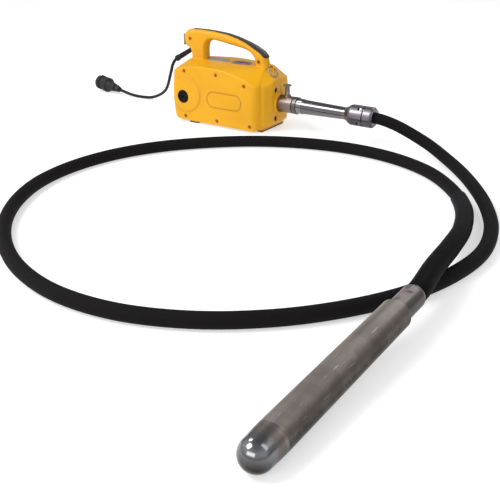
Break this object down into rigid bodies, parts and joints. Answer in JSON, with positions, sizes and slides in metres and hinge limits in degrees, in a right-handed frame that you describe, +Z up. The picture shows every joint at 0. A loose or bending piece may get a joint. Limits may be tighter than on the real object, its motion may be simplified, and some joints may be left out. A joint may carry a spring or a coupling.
{
  "type": "electric concrete vibrator",
  "caption": "Hand-held electric motor with a handle, a flexible shaft in a rubber hose and a steel poker for compacting wet concrete.",
  "frame": {"origin": "on the floor, under the middle of the motor's front foot", "axes": "+X along the drive line from the motor towards the hose coupling, +Y to the left of the drive line, +Z up"},
  "size_m": [1.6008, 1.4154, 0.2636],
  "materials": {
    "housing": "moulded yellow polyamide, light satin grain",
    "grip_rubber": "soft dark grey overmoulded rubber",
    "foot_rubber": "brown-grey rubber pad",
    "brown_screw": "browned steel screw heads in deep pockets",
    "dark_screw": "blackened socket screws",
    "plate_grey": "satin printed aluminium",
    "grille_grey": "grey moulded grille",
    "wire_steel": "dulled zinc plated wire",
    "switch_grey": "light grey switch moulding",
    "rocker_black": "glossy dark rocker",
    "cord_rubber": "black rubber sheath",
    "plug_black": "black moulded plug",
    "pin_metal": "nickel plated brass",
    "cap_black": "black moulded cap",
    "brown_insulation": "brown phenolic insulation",
    "carbon": "pressed carbon",
    "spring_steel": "spring steel wire",
    "lamination": "stacked electrical steel",
    "copper": "enamelled copper",
    "bearing_steel": "ground bearing steel",
    "cast_alloy": "cast aluminium, as cast skin",
    "shaft_steel": "turned steel",
    "fan_plastic": "dark moulded plastic",
    "bright_tube": "polished steel tube",
    "coupling_metal": "machined cast steel, satin",
    "hose_rubber": "matte black hose rubber",
    "sleeve_rubber": "dark grey rubber with a soft sheen",
    "core_steel": "oiled wound steel wire",
    "poker_steel": "worn ground steel",
    "nose_steel": "polished hardened steel",
    "connector_steel": "turned steel, lighter than the tube",
    "seal_black": "black seal rubber"
  },
  "bodies": {
    "motor": {"housing_right": "housing", "housing_left": "housing", "grip_insert": "grip_rubber", "housing_screws": "brown_screw", "foot_pads": "foot_rubber", "name_plate": "plate_grey", "vent_grille": "grille_grey", "switch_module": "switch_grey", "cord_boot": "cord_rubber", "cord_clamp": "cap_black", "mains_cord": "cord_rubber", "plug_body": "plug_black", "plug_pins": "pin_metal", "brush_caps": "cap_black", "brush_holders": "brown_insulation", "carbon_brushes": "carbon", "brush_springs": "spring_steel", "stator_core": "lamination", "field_coils": "copper", "fan_baffle": "fan_plastic", "rear_bearing": "bearing_steel", "front_bearing": "bearing_steel", "drive_casting": "cast_alloy", "casting_screws": "dark_screw", "lock_bush": "shaft_steel", "lock_spring": "spring_steel", "coupling_flange": "coupling_metal", "coupling_tube": "bright_tube", "hose_bell": "coupling_metal", "hose_clamp": "coupling_metal", "clamp_bolts": "bearing_steel", "hose_ferrule": "shaft_steel", "hose": "hose_rubber", "flex_core": "core_steel", "bend_sleeve": "sleeve_rubber", "rear_connector": "connector_steel", "poker_tube": "poker_steel", "nose_cap": "nose_steel", "rear_bearings": "bearing_steel", "nose_bearing": "bearing_steel", "shaft_seal": "seal_black"},
    "armature": {"armature_shaft": "shaft_steel", "armature_core": "lamination", "armature_winding": "copper", "commutator": "copper", "cooling_fan": "fan_plastic", "drive_dog": "shaft_steel", "core_spigot": "shaft_steel"},
    "rotor": {"eccentric_rotor": "shaft_steel", "core_end": "shaft_steel"},
    "rocker": {"switch_rocker": "rocker_black"},
    "lock": {"lock_pin": "shaft_steel"},
    "ring": {"strap_ring": "wire_steel"}
  },
  "joints": [
    {"name": "armature_spin", "type": "hinge", "parent": "motor", "child": "armature", "pos_m": [0, 0, 0.077], "axis": [1, 0, 0], "continuous": true},
    {"name": "rotor_spin", "type": "hinge", "parent": "motor", "child": "rotor", "pos_m": [0.807, -0.911, 0.046], "axis": [-0.0348, -0.9978, -0.0556], "continuous": true},
    {"name": "switch_rock", "type": "hinge", "parent": "motor", "child": "rocker", "pos_m": [-0.288, 0, 0.228], "axis": [0, -1, 0], "range_deg": [0, 14]},
    {"name": "lock_pull", "type": "slide", "parent": "motor", "child": "lock", "axis": [0, 0, 1], "range_m": [0, 0.007], "stiffness_N_per_m": 300, "springref_m": -0.005, "deforming": ["lock_spring"]},
    {"name": "ring_swing", "type": "hinge", "parent": "motor", "child": "ring", "pos_m": [0.009, 0, 0.178], "axis": [0, -1, 0], "range_deg": [0, 135]}
  ],
  "couplings": [
    {"joint": "rotor_spin", "follows": "armature_spin", "ratio": 1}
  ]
}
